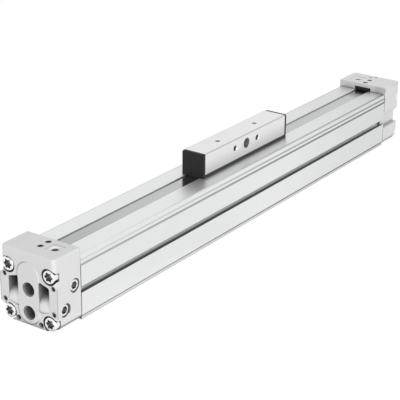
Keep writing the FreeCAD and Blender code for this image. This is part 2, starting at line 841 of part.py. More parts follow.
def foot_room():
    half = foot_width / 2 + 1.0
    return box(-yoke_half - 0.1, yoke_half + 0.1, -half, half, foot_bottom(), bore_top + 1)


def foot_screw_places():
    y = inner_band_width / 2 + foot_screw_diameter / 2 + 0.55
    return [(x, side * y) for x in (-0.6 * yoke_half, 0.6 * yoke_half) for side in (-1, 1)]


def piston_core():
    """Long middle of the piston, open on top for the inner band and the yoke."""
    radius = bore_radius - core_clearance
    core = rod(radius, (-core_half, 0, bore_height), (1, 0, 0), 2 * core_half)
    bore = sleeve_diameter / 2 + cushion_bore_gap
    cuts = [inner_passage(), foot_room()]
    for sign in (-1, 1):
        cuts.append(rod(bore, (sign * (core_half + 1), 0, bore_height), (-sign, 0, 0),
                        core_socket_depth + 1))
    ring = magnet_cut()
    cuts += [ring, ring.mirror(FreeCAD.Vector(0, 0, 0), FreeCAD.Vector(1, 0, 0))]
    for x, y in foot_screw_places():
        cuts.append(rod(foot_screw_diameter / 2 + thread_gap, (x, y, foot_bottom() + 1),
                        (0, 0, -1), foot_screw_length))
    return core.cut(cuts)


def yoke():
    """Driver through the slot: foot on the core, neck in the slot, flange under the carriage."""
    neck = driver_slot_width / 2 - yoke_neck_gap
    foot_half = foot_width / 2
    flange_half = yoke_flange_width / 2
    foot_top = foot_bottom() + foot_thickness
    foot = box(-yoke_half, yoke_half, -foot_half, foot_half, foot_bottom(), foot_top)
    foot = foot.common(rod(bore_radius - core_clearance, (-yoke_half - 1, 0, bore_height),
                           (1, 0, 0), yoke_length + 2))
    web = box(-yoke_half, yoke_half, -neck, neck, foot_top - 1, flange_top)
    flange = box(-yoke_half, yoke_half, -flange_half, flange_half, flange_bottom, flange_top)
    head = yoke_screw_head_diameter / 2
    shank = yoke_screw_diameter / 2
    cuts = [rod(foot_screw_diameter / 2 + thread_gap, (x, y, foot_bottom() - 1), (0, 0, 1),
                foot_thickness + 2) for x, y in foot_screw_places()]
    for x, y in yoke_screw_places():
        cuts.append(rod(shank + thread_gap, (x, y, flange_bottom - 1), (0, 0, 1),
                        yoke_flange_thickness + 2))
        cuts.append(cone(head, shank, (x, y, flange_bottom), (0, 0, 1), head - shank))
    return foot.fuse([web, flange]).cut(cuts).removeSplitter()


def yoke_screw_places():
    y = yoke_flange_width / 2 - yoke_screw_head_diameter / 2 - 0.1
    x = yoke_half - yoke_screw_inset
    return [(a, b) for a in (-x, x) for b in (-y, y)]


def yoke_screws():
    """Countersunk screws from below, through the flange into the carriage's walls."""
    head = yoke_screw_head_diameter / 2
    shank = yoke_screw_diameter / 2
    screws = []
    for x, y in yoke_screw_places():
        body = rod(shank, (x, y, flange_bottom), (0, 0, 1), yoke_screw_length)
        body = body.fuse(cone(head - thread_gap, shank, (x, y, flange_bottom), (0, 0, 1),
                              head - shank - thread_gap))
        screws.append(body.cut(hexagon(shank, (x, y, flange_bottom - 1), (0, 0, 1), 1.7)))
    return Part.makeCompound(screws)


def foot_screws():
    """Short screws that hold the yoke's foot on the piston core, sunk in the foot."""
    top = foot_bottom() + foot_thickness - foot_screw_sink
    screws = []
    for x, y in foot_screw_places():
        body = rod(foot_screw_diameter / 2, (x, y, top), (0, 0, -1), foot_screw_length)
        screws.append(body.cut(hexagon(0.5 * foot_screw_diameter, (x, y, top - 1.2), (0, 0, 1), 2.0)))
    return Part.makeCompound(screws)


def carriage_body():
    """Aluminium block with a band tunnel below and mounting threads on top and sides."""
    half = carriage_width / 2
    body = box(-body_half, body_half, -half, half, carriage_bottom, carriage_top)
    edges = [e for e in body.Edges if abs(e.CenterOfMass.z - carriage_top) < 1e-6
             and abs(abs(e.CenterOfMass.y) - half) < 1e-6]
    body = body.makeChamfer(carriage_edge, edges)
    tunnel = half - tunnel_wall
    rebate = yoke_flange_width / 2 + running_gap / 2
    cuts = [box(-body_half - 1, body_half + 1, -tunnel, tunnel, carriage_bottom - 1, tunnel_top),
            box(-yoke_half - 0.05, yoke_half + 0.05, -rebate, rebate, carriage_bottom - 1, flange_top)]
    radius = carriage_thread_diameter / 2
    for x in (-carriage_top_thread_spacing / 2, carriage_top_thread_spacing / 2):
        cuts.append(threaded_mouth(radius, (x, 0, carriage_top), (0, 0, 1),
                                   carriage_thread_depth, thread_chamfer))
    for side in (-1, 1):
        for x in (-carriage_side_thread_spacing / 2, carriage_side_thread_spacing / 2):
            cuts.append(threaded_mouth(radius, (x, side * half, carriage_hole_height),
                                       (0, side, 0), half, thread_chamfer))
    cuts.append(rod(carriage_locating_bore / 2, (0, -half - 1, carriage_hole_height), (0, 1, 0),
                    carriage_width + 2))
    for x, y in yoke_screw_places():
        cuts.append(rod(yoke_screw_diameter / 2 + thread_gap, (x, y, flange_top - 1), (0, 0, 1),
                        yoke_screw_length - yoke_flange_thickness + 2))
    return body.cut(cuts)


def end_plate():
    """Plastic end plate at the +X end, with a tongue that wipes the cover band."""
    half = carriage_width / 2
    x0, x1 = body_half, body_half + end_plate_thickness
    low = profile_height + running_gap
    plate = box(x0, x1, -half, half, low, carriage_top)
    edges = [e for e in plate.Edges if abs(e.CenterOfMass.z - carriage_top) < 1e-6
             and abs(abs(e.CenterOfMass.y) - half) < 1e-6]
    plate = plate.makeFillet(end_plate_corner, edges)
    tongue = box(x0, x1, -cover_band_width / 2, cover_band_width / 2,
                 cover_band_top + running_gap, low + 1)
    return plate.fuse(tongue).removeSplitter()


def seal_strip():
    """Plastic strip under the carriage's -Y edge, running over the barrel's top."""
    outer = carriage_width / 2 - running_gap
    return box(-body_half, body_half, -outer, -outer + strip_width,
               profile_height + running_gap, carriage_bottom)


def band_shoe():
    """Pressing shoe in the tunnel at the +X end: it guides the cover band down."""
    x1 = body_half
    x0 = x1 - shoe_length
    wide = cover_band_width / 2
    run = ramp_run - 2 * running_gap
    rise = cover_band_lift * shoe_length / run
    gap = shoe_gap + cover_band_lift * (ramp_run - run) / run
    low = cover_band_top + gap
    return along_y([(x1, low), (x1, tunnel_top), (x0, tunnel_top), (x0, low + rise)], -wide, wide)


def mirrored_x(shape):
    return shape.mirror(FreeCAD.Vector(0, 0, 0), FreeCAD.Vector(1, 0, 0))


def pair(name, shape):
    """The same end piece at both ends of the cylinder."""
    return {"near_" + name: at_near(shape), "far_" + name: at_far(shape)}


def carried_pair(name, shape):
    """The same piece at both ends of the moving group."""
    return {"near_" + name: on_carriage(mirrored_x(shape)), "far_" + name: on_carriage(shape)}


def build_all():
    nodes = {
        "barrel": barrel(),
        "near_end_cap": at_near(end_cap(True)),
        "far_end_cap": at_far(end_cap(False)),
        "far_port_plugs": at_far(port_plugs()),
        "cover_band": cover_band(),
        "inner_band": inner_band(),
        "carriage_body": on_carriage(carriage_body()),
        "yoke": on_carriage(yoke()),
        "yoke_screws": on_carriage(yoke_screws()),
        "foot_screws": on_carriage(foot_screws()),
        "piston_core": on_carriage(piston_core()),
        "front_seal_strip": on_carriage(seal_strip()),
        "rear_seal_strip": on_carriage(both_sides(seal_strip())[1]),
    }
    nodes.update(pair("cap_screws", cap_screws()))
    nodes.update(pair("cap_gasket", cap_gasket()))
    nodes.update(pair("spigot_o_ring", spigot_o_ring()))
    nodes.update(pair("cushion_sleeve", cushion_sleeve()))
    nodes.update(pair("cushion_screw", cushion_screw()))
    nodes.update(pair("channel_plug", channel_plug()))
    nodes.update(pair("band_clamp", band_clamp()))
    nodes.update(pair("clamp_grub_screws", grub_screws()))
    nodes.update(pair("end_buffer", end_buffer()))
    nodes.update(carried_pair("piston", piston()))
    nodes.update(carried_pair("piston_seal", piston_seal()))
    nodes.update(carried_pair("guide_ring", guide_ring()))
    nodes.update(carried_pair("cushion_seal", cushion_seal()))
    nodes.update(carried_pair("magnet", magnet()))
    nodes.update(carried_pair("end_plate", end_plate()))
    nodes.update(carried_pair("band_shoe", band_shoe()))
    return nodes


os.makedirs("parts", exist_ok=True)
for node, shape in build_all().items():
    shape.exportStep("parts/" + node + ".step")
    solids = shape.Solids
    print("%-24s solids %d  valid %s  volume %.1f" % (
        node, len(solids), shape.isValid(), sum(s.Volume for s in solids)))
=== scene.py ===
import functools
import math

import bmesh
import bpy
from bpy.props import FloatProperty, FloatVectorProperty, IntProperty, PointerProperty
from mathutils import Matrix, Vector


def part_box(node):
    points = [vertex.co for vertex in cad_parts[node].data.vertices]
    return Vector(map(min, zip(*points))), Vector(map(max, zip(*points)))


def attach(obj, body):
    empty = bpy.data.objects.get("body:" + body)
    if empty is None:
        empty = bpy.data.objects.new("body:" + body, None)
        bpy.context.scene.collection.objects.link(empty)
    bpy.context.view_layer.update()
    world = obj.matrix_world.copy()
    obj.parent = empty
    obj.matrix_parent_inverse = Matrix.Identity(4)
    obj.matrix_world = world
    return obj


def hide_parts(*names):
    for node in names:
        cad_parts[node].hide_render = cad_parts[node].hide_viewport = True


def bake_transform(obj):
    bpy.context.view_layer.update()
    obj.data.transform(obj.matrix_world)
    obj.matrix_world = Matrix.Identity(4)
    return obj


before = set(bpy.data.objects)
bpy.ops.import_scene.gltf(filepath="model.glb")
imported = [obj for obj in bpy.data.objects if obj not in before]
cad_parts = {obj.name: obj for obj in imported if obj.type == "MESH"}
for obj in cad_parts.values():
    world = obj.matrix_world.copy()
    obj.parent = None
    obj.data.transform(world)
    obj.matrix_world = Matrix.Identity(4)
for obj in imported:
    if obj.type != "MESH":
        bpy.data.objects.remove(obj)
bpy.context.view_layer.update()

bl_info = {
    "name": "Rodless cylinder dresser",
    "version": (1, 0, 0),
    "blender": (4, 5, 0),
    "location": "3D View > Sidebar > Cylinder",
    "description": "Gives a band-sealed air cylinder its finishes, bands, threads and a studio",
    "category": "Object",
}

MM = 0.001

# The two ends of the cylinder and the side of the middle on which each lies
ENDS = {"near": -1, "far": 1}

# Places on the caps: heights above the base and distances from the middle planes
PORT_HEIGHTS = (8.9 * MM, 25.6 * MM)
PORT_STRIP_HEIGHTS = (10.3 * MM, 35.4 * MM)
PORT_STRIP_REACH = 9.4 * MM
SWELLING_REACH = 24.2 * MM
FOOT_HOLE_HEIGHT = 2.7 * MM
FOOT_HOLE_ACROSS = 9.7 * MM
END_HOLE_HEIGHTS = (13.3 * MM, 31.6 * MM)
END_HOLE_ACROSS = 20.8 * MM
TOP_HOLE_SETBACK = 15.0 * MM
TOP_HOLE_ACROSS = 10.8 * MM
TOP_HOLE_DROP = 1.3 * MM
PIN_HOLES = ((224.9 * MM, 2.6 * MM), (227.5 * MM, -1.3 * MM))

# The caps' cored pockets, from and to along, across and up, and the boss that shows in them
POCKET_ALONG = (216.5 * MM, 230.4 * MM)
POCKET_ACROSS = (8.3 * MM, 17.7 * MM)
POCKET_UP = (10.4 * MM, 33.8 * MM)
CHANNEL_BOSS_RADIUS = 8.25 * MM

# Where the holes in a cap's top open: from and to along, and half of their spread across
MOUTHS_ALONG = (207.0 * MM, 220.6 * MM)
MOUTHS_ACROSS = 14.2 * MM

# The barrel's sensor slots, from and to up and across
SLOT_UP = (17.4 * MM, 26.0 * MM)
SLOT_ACROSS = (16.0 * MM, 22.48 * MM)
SLOT_LIP_ACROSS = 20.4 * MM
SLOT_LIP_HEIGHT = 20.0 * MM
SLOT_BOTTOM_HEIGHT = 18.65 * MM

# Fine lines of painted shade along the barrel's side steps: height, and darkness at the near and
# at the far end
SIDE_SHADE_LINES = ((39.2 * MM, 0.34, 0.66), (42.5 * MM, 0.02, 0.56), (2.8 * MM, 0.10, 0.60))

# Fine lines of painted dark reflection along its top's rounded corners: place across, reach,
# height where they start, and darkness as above
TOP_REFLECTION_LINES = ((-20.5 * MM, 1.2 * MM, 45.2 * MM, 0.05, 0.56),
             (21.2 * MM, 1.7 * MM, 44.0 * MM, 0.35, 0.66))

# Places along the cylinder between which the painted shade changes slowly
TONE_RUN = (-0.2, 0.2)

# Places on the carriage body
CARRIAGE_TOP_SPREAD = 25.0 * MM
CARRIAGE_SIDE_SPREAD = 15.0 * MM
CARRIAGE_SIDE_HEIGHT = 57.6 * MM
CARRIAGE_COUNTERSINK = 0.5 * MM

# The tapped holes: radius of the wall and depth of the thread
PORT = {"radius": 4.865 * MM, "depth": 9.2 * MM}
END_HOLE = {"radius": 1.95 * MM, "depth": 3.8 * MM}
FOOT_HOLE = {"radius": 1.95 * MM, "depth": 3.3 * MM}
TOP_HOLE = {"radius": 2.5 * MM, "depth": 5.5 * MM}
CARRIAGE_TOP_HOLE = {"radius": 2.1 * MM, "depth": 8.0 * MM}
CARRIAGE_SIDE_HOLE = {"radius": 2.1 * MM, "depth": 7.5 * MM}

# How far a thread's ridge is sunk into the wall, and half of its foot as a share of the pitch
RIDGE_SUNK = 0.03 * MM
RIDGE_HALF_FOOT = 0.45

# The chamfers at the mouths of the ports and of the holes at a cap's foot
PORT_CHAMFER = 0.35 * MM
FOOT_HOLE_CHAMFER = 0.5 * MM

# The bands' thickness
COVER_BAND_THICKNESS = 0.3 * MM
INNER_BAND_THICKNESS = 0.9 * MM

# The clamp block: its gap over the barrel, its tongue in the channel and the ribs on its face
CLAMP_GAP = 0.1 * MM
CLAMP_EDGE = 0.35 * MM
TONGUE_HALF_WIDTH = 5.9 * MM
TONGUE_SETBACK = 1.0 * MM
TONGUE_OVERLAP = 0.2 * MM
RIB_PLACES = (-0.9 * MM, 0.9 * MM)
RIB_HALF_WIDTH = 0.3 * MM
RIB_HEIGHT = 0.25 * MM
RIB_MARGIN = 0.4 * MM
SMALL_EDGE = 0.1 * MM

# The floor: half of its width, how strongly it glows, and the glow's share for rays that see it
FLOOR_HALF = 4.0
FLOOR_GLOW = 1.1
FLOOR_GLOW_SHARE = 0.82


def box_of(node):
    """Lowest and highest corner of a CAD node at rest."""
    low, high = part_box(node)
    return Vector(low), Vector(high)


def outer_end(node, sign):
    """The x of a CAD node's end on one side of the middle."""
    low, high = box_of(node)
    return low.x if sign < 0 else high.x


def colour(name, text, value):
    return FloatVectorProperty(name=name, description=text, subtype="COLOR", size=3,
                               min=0.0, max=1.0, default=value)


def length(name, text, value):
    return FloatProperty(name=name, description=text, subtype="DISTANCE", unit="LENGTH",
                         min=0.0, default=value)


def share(name, text, value):
    return FloatProperty(name=name, description=text, subtype="FACTOR", min=0.0, max=1.0,
                         default=value)


def place(name, text, value):
    return FloatVectorProperty(name=name, description=text, subtype="TRANSLATION", unit="LENGTH",
                               size=3, default=value)


class CylinderFinish(bpy.types.PropertyGroup):
    """Colours and roughness of the finishes."""
    anodised: colour("Anodised profile", "Colour of the extruded barrel", (0.80, 0.805, 0.81))
    cast: colour("Cast caps", "Colour of the cast end caps", (0.73, 0.73, 0.735))
    milled: colour("Milled carriage", "Colour of the carriage block", (0.80, 0.80, 0.805))
    strip: colour("Steel strip", "Colour of the cover band", (0.52, 0.525, 0.53))
    fastener: colour("Plated steel", "Colour of screws and plugs", (0.88, 0.885, 0.89))
    plastic: colour("Black plastic", "Colour of end plates and clamps", (0.012, 0.012, 0.013))
    rubber: colour("Rubber", "Colour of gaskets and seals", (0.010, 0.010, 0.011))
    satin: share("Satin roughness", "Roughness of anodised surfaces", 0.40)
    edge_radius: length("Edge radius", "Softening of the metal pieces' edges", 0.25 * MM)


class CylinderShape(bpy.types.PropertyGroup):
    """Sizes of the pieces that are built here."""
    band_lift: length("Band lift", "How far the cover band rises inside the carriage", 4.2 * MM)
    lift_half: length("Lift half length", "Half of the band's raised level stretch", 24.0 * MM)
    lift_run: length("Lift run", "Length of each ramp of the cover band", 29.5 * MM)
    dip_run: length("Dip run", "Length of each ramp of the inner band", 27.5 * MM)
    clamp_reach: length("Clamp reach", "How far a band clamp stands out of its cap", 0.4 * MM)
    clamp_width: length("Clamp width", "Width of a band clamp", 12.8 * MM)
    port_pitch: length("Port thread pitch", "Pitch of the port threads", 0.907 * MM)
    screw_pitch: length("Screw thread pitch", "Pitch of the small threads", 0.75 * MM)
    ridge_share: share("Ridge share", "Height of a thread's ridge as a share of its pitch", 0.40)
    thread_steps: IntProperty(name="Thread steps", description="Points in each turn of a thread",
                              min=12, max=96, default=32)


class CylinderStage(bpy.types.PropertyGroup):
    """Camera, lamp, sky and floor."""
    camera_place: place("Camera place", "Where the camera stands", (-0.82047, -0.54758, 0.41918))
    camera_turn: FloatVectorProperty(
        name="Camera turn", description="How the camera is turned", subtype="EULER",
        unit="ROTATION", size=3,
        default=(math.radians(67.488), math.radians(-0.447), math.radians(-54.756)))
    lens: FloatProperty(name="Lens", description="Focal length in millimetres on a 36 mm sensor",
                        min=10.0, default=124.58)
    sky: FloatProperty(name="Sky", description="Strength of the even studio light", min=0.0,
                       default=0.62)
    lamp_power: FloatProperty(name="Lamp power", description="Power of the large front lamp",
                              unit="POWER", min=0.0, default=18.0)
    lamp_size: length("Lamp size", "Width of the front lamp", 1.4)
    lamp_place: place("Lamp place", "Where the front lamp stands", (-1.05, -1.35, 0.65))
    floor: colour("Floor", "Colour of the floor", (0.80, 0.80, 0.80))


def settings():
    """The finishes, the shapes and the stage as the user has set them."""
    scene = bpy.context.scene
    return scene.cylinder_finish, scene.cylinder_shape, scene.cylinder_stage


def add(tree, kind, **values):
    """A node with its properties or, for names of inputs, its input values set."""
    node = tree.nodes.new("ShaderNode" + kind)
    for key, value in values.items():
        if hasattr(node, key):
            setattr(node, key, value)
        else:
            node.inputs[key.replace("_", " ")].default_value = value
    return node


def metal_surface_group():
    """Grain, slow clouding, soft edges and a recess mask for painted shade, for every hard
    surface.
    """
    group = bpy.data.node_groups.get("metal_surface")
    if group:
        return group
    group = bpy.data.node_groups.new("metal_surface", "ShaderNodeTree")
    for name, kind, value in (("Grain Scale", "Vector", (400.0, 400.0, 400.0)),
                              ("Grain Depth", "Float", 0.01 * MM), ("Cloud Scale", "Float", 40.0),
                              ("Edge Radius", "Float", 0.2 * MM),
                              ("Recess Reach", "Float", 5.0 * MM),
                              ("Recess Start", "Float", 0.75), ("Recess Full", "Float", 0.20)):
        socket = group.interface.new_socket(name=name, in_out="INPUT",
                                            socket_type="NodeSocket" + kind)
        socket.default_value = value
    for name, kind in (("Normal", "Vector"), ("Grain", "Float"), ("Cloud", "Float"),
                       ("Edge", "Float"), ("Recess", "Float")):
        group.interface.new_socket(name=name, in_out="OUTPUT", socket_type="NodeSocket" + kind)
    link = group.links.new
    inlet = group.nodes.new("NodeGroupInput")
    outlet = group.nodes.new("NodeGroupOutput")
    spot = add(group, "TexCoord")
    stretch = add(group, "VectorMath", operation="MULTIPLY")
    link(spot.outputs["Object"], stretch.inputs[0])
    link(inlet.outputs["Grain Scale"], stretch.inputs[1])
    grain = add(group, "TexNoise", Scale=1.0, Detail=4.0, Roughness=0.6)
    link(stretch.outputs[0], grain.inputs["Vector"])
    link(grain.outputs["Fac"], outlet.inputs["Grain"])
    cloud = add(group, "TexNoise", Detail=3.0, Roughness=0.55)
    link(spot.outputs["Object"], cloud.inputs["Vector"])
    link(inlet.outputs["Cloud Scale"], cloud.inputs["Scale"])
    link(cloud.outputs["Fac"], outlet.inputs["Cloud"])
    soft = add(group, "Bevel", samples=6)
    link(inlet.outputs["Edge Radius"], soft.inputs["Radius"])
    bump = add(group, "Bump", Strength=1.0)
    link(inlet.outputs["Grain Depth"], bump.inputs["Distance"])
    link(grain.outputs["Fac"], bump.inputs["Height"])
    link(soft.outputs[0], bump.inputs["Normal"])
    link(bump.outputs[0], outlet.inputs["Normal"])
    flat = add(group, "NewGeometry")
    match = add(group, "VectorMath", operation="DOT_PRODUCT")
    link(soft.outputs[0], match.inputs[0])
    link(flat.outputs["Normal"], match.inputs[1])
    edge = add(group, "MapRange", From_Min=0.999, From_Max=0.90, To_Min=0.0, To_Max=1.0)
    link(match.outputs["Value"], edge.inputs["Value"])
    link(edge.outputs["Result"], outlet.inputs["Edge"])
    # Ambient occlusion gives the Recess mask, which the finishes use to paint shade into recesses.
    open_sky = add(group, "AmbientOcclusion", samples=8)
    link(inlet.outputs["Recess Reach"], open_sky.inputs["Distance"])
    recess = add(group, "MapRange", To_Min=0.0, To_Max=1.0)
    link(open_sky.outputs["AO"], recess.inputs["Value"])
    link(inlet.outputs["Recess Start"], recess.inputs["From Min"])
    link(inlet.outputs["Recess Full"], recess.inputs["From Max"])
    link(recess.outputs["Result"], outlet.inputs["Recess"])
    return group


def rgba(base, factor=1.0, lift=0.0):
    """A colour multiplied and lifted, kept at 1 or below and opaque."""
    return [min(1.0, c * factor + lift) for c in base] + [1.0]


def grey(tone):
    return (tone, tone, tone)


def mixed(tree, mask, below, over):
    """A colour, or a colour socket, with another colour over it where the mask is."""
    mix = add(tree, "Mix", data_type="RGBA")
    tree.links.new(mask, mix.inputs["Factor"])
    mix.inputs["B"].default_value = over
    if isinstance(below, bpy.types.NodeSocket):
        tree.links.new(below, mix.inputs["A"])
    else:
        mix.inputs["A"].default_value = below
    return mix.outputs["Result"]


def made_once(build):
    """Names a finish after the function that builds it, and builds it only once."""
    @functools.wraps(build)
    def finish():
        material = bpy.data.materials.get(build.__name__)
        if material is None:
            material = build()
            material.name = build.__name__
        return material
    return finish


def finish_material(base, metallic, roughness, grain_scale, grain_depth, cloud=0.03,
                    edge_light=0.12, rough_swing=0.06, edge_radius=None, recess_reach=3 * MM,
                    recess_dark=0.8, recess_start=0.75, recess_full=0.20, shine=0.5):
    """A surface whose colour, gloss and relief all vary a little, lighter at its softened edges
    and with painted shade in its recesses.
    """
    material = bpy.data.materials.new("finish")
    material.use_nodes = True
    tree = material.node_tree
    shader = tree.nodes["Principled BSDF"]
    shader.inputs["Metallic"].default_value = metallic
    shader.inputs["Specular IOR Level"].default_value = shine
    if edge_radius is None:
        edge_radius = settings()[0].edge_radius
    surface = add(tree, "Group", node_tree=metal_surface_group(), Grain_Scale=grain_scale,
                  Grain_Depth=grain_depth, Edge_Radius=edge_radius, Recess_Reach=recess_reach,
                  Recess_Start=recess_start, Recess_Full=recess_full)
    tone = mixed(tree, surface.outputs["Cloud"], rgba(base, 1 - cloud), rgba(base, 1 + cloud))
    # Lighter at the softened edges.
    edge_lightened = mixed(tree, surface.outputs["Edge"], tone, rgba(base, lift=edge_light))
    # Painted shade in recesses, where the Recess mask is.
    painted_recess_shade = mixed(tree, surface.outputs["Recess"], edge_lightened, rgba(base, 1 - recess_dark))
    tree.links.new(painted_recess_shade, shader.inputs["Base Color"])
    gloss = add(tree, "MapRange", To_Min=roughness - rough_swing, To_Max=roughness + rough_swing)
    tree.links.new(surface.outputs["Grain"], gloss.inputs["Value"])
    tree.links.new(gloss.outputs["Result"], shader.inputs["Roughness"])
    tree.links.new(surface.outputs["Normal"], shader.inputs["Normal"])
    return material


class Reading:
    """A number at each point of a surface, worked out by the nodes of one material."""

    def __init__(self, tree, socket):
        self.tree = tree
        self.socket = socket

    def combined(self, operation, other):
        """This reading and another, or a fixed number, put through one Math node."""
        join = add(self.tree, "Math", operation=operation)
        self.tree.links.new(self.socket, join.inputs[0])
        if isinstance(other, Reading):
            self.tree.links.new(other.socket, join.inputs[1])
        else:
            join.inputs[1].default_value = other
        return Reading(self.tree, join.outputs[0])

    def __add__(self, other):
        return self.combined("ADD", other)

    def __sub__(self, other):
        return self.combined("SUBTRACT", other)

    def __mul__(self, other):
        return self.combined("MULTIPLY", other)

    def __neg__(self):
        return self * -1.0

    def __abs__(self):
        bare = add(self.tree, "Math", operation="ABSOLUTE")
        self.tree.links.new(self.socket, bare.inputs[0])
        return Reading(self.tree, bare.outputs[0])

    def ramp(self, start, end, low=0.0, high=1.0):
        """A smooth change from low at start to high at end."""
        change = add(self.tree, "MapRange", interpolation_type="SMOOTHSTEP", From_Min=start,
                     From_Max=end, To_Min=low, To_Max=high)
        self.tree.links.new(self.socket, change.inputs["Value"])
        return Reading(self.tree, change.outputs["Result"])

    def within(self, low, high, rise=0.2 * MM, fall=0.2 * MM):
        """1 between two limits, fading to 0 at them."""
        return self.ramp(low, low + rise) * self.ramp(high, high - fall)

    def line(self, centre, reach):
        """1 at one place, fading to 0 within the reach."""
        return abs(self - centre).ramp(reach, 0.4 * reach)


def strongest(first, *others):
    """The largest of several readings."""
    total = first
    for other in others:
        total = total.combined("MAXIMUM", other)
    return total


def coordinates(material):
    """The x, y and z of a surface point on its own object."""
    tree = material.node_tree
    split = add(tree, "SeparateXYZ")
    tree.links.new(add(tree, "TexCoord").outputs["Object"], split.inputs[0])
    return [Reading(tree, socket) for socket in split.outputs]


def distance(across, up, centre=(0.0, 0.0)):
    """Distance of a surface point from an axis, given its two coordinates across that axis."""
    tree = across.tree
    point = add(tree, "CombineXYZ")
    tree.links.new(across.socket, point.inputs["X"])
    tree.links.new(up.socket, point.inputs["Y"])
    apart = add(tree, "VectorMath", operation="DISTANCE")
    tree.links.new(point.outputs[0], apart.inputs[0])
    apart.inputs[1].default_value = (*centre, 0.0)
    return Reading(tree, apart.outputs["Value"])


def shade_over(material, mask, tone):
    """Lays another tone over a finish where the mask is."""
    tree = material.node_tree
    base = tree.nodes["Principled BSDF"].inputs["Base Color"]
    tree.links.new(mixed(tree, mask.socket, base.links[0].from_socket, rgba(tone)), base)


@made_once
def anodised_extrusion():
    """Satin anodising, with painted shade along its side steps and in the sensor slots, painted
    dark reflections along its top corners, and painted shade growing towards the far end.
    """
    finish = settings()[0]
    material = finish_material(finish.anodised, metallic=0.85, roughness=finish.satin,
                               grain_scale=(30.0, 2600.0, 2600.0), grain_depth=0.004 * MM,
                               cloud=0.02, recess_reach=6 * MM)
    x, y, z = coordinates(material)
    side = abs(y)
    flank = side.ramp(20.6 * MM, 21.2 * MM)
    # Painted shade lines at the side steps and grooves.
    painted_shade = [flank * z.line(height, 1.1 * MM) * x.ramp(*TONE_RUN, near, far)
            for height, near, far in SIDE_SHADE_LINES]
    # Painted dark reflections along the top's rounded corners.
    painted_shade += [z.ramp(start, start + 0.5 * MM) * y.line(across, reach) * x.ramp(*TONE_RUN, near, far)
             for across, reach, start, near, far in TOP_REFLECTION_LINES]
    # Painted shade inside the sensor slots, darkest over the lip and the slot's floor.
    slot = z.within(*SLOT_UP) * side.within(*SLOT_ACROSS, fall=0.06 * MM)
    slot_bottom = z.ramp(SLOT_BOTTOM_HEIGHT, SLOT_BOTTOM_HEIGHT - 0.5 * MM, 0.0, 0.72)
    slot_lip = (side.ramp(SLOT_LIP_ACROSS, SLOT_LIP_ACROSS + 0.3 * MM)
                * z.ramp(SLOT_LIP_HEIGHT, SLOT_LIP_HEIGHT - 0.4 * MM, 0.0, 0.82))
    painted_shade.append(slot * strongest(slot_bottom, slot_lip))
    # Painted shade that grows towards the far end.
    far_painted_shade = x.ramp(0.0, 0.21, 0.0, 0.13)
    # One near-black tone for all of this painted shade.
    shade_over(material, strongest(far_painted_shade, *painted_shade), (0.03, 0.03, 0.032))
    return material


def cap_lines(x, y, z):
    """Shadow lines on a cap: round the port strip, along the swellings, under the far cap's top
    edges and over the face that meets the barrel."""
    tip = box_of("far_end_cap")[1]
    joint = outer_end("far_cap_gasket", 1)
    deck = box_of("barrel")[1].z
    ends = abs(x)
    width = abs(y)
    face = ends.ramp(tip.x - 1.2 * MM, tip.x - 0.8 * MM)
    strip_low, strip_high = PORT_STRIP_HEIGHTS
    beyond = strongest(z - strip_high, -(z - strip_low), 0.0)
    strip = (face * distance(y, beyond).line(PORT_STRIP_REACH, 0.8 * MM)
             * y.ramp(-1 * MM, 4 * MM, 0.04, 0.42))
    swelling = (face * width.line(SWELLING_REACH, 0.6 * MM)
                * z.ramp(9.0 * MM, 12.0 * MM, 0.0, 0.30))
    inner_face = (ends.ramp(joint + 0.3 * MM, joint + 0.1 * MM)
                  * z.ramp(deck + 0.2 * MM, deck + 0.4 * MM)
                  * (z.ramp(deck + 1 * MM, deck + 4 * MM, 0.04, 0.14)
                     + y.ramp(-10 * MM, -15 * MM, 0.0, 0.20)))
    top_edge = (width.ramp(21.8 * MM, 22.2 * MM) * z.line(tip.z - 0.5 * MM, 1.0 * MM)
                * x.ramp(0.20, 0.23, 0.0, 0.34))
    return strip, swelling, inner_face, top_edge


def cap_holes(x, y, z):
    """Shade inside a cap's ports and pin holes."""
    tip = box_of("far_end_cap")[1]
    ports = [abs(x).ramp(tip.x - 0.05 * MM, tip.x - 0.2 * MM)
             * distance(y, z, (0.0, height)).ramp(5.3 * MM, 5.1 * MM, 0.0, 0.5)
             for height in PORT_HEIGHTS]
    pins = [z.ramp(tip.z - 3.6 * MM, tip.z - 3.4 * MM)
            * distance(x, y, centre).ramp(1.4 * MM, 1.1 * MM, 0.0, 0.88)
            for centre in PIN_HOLES]
    return ports + pins


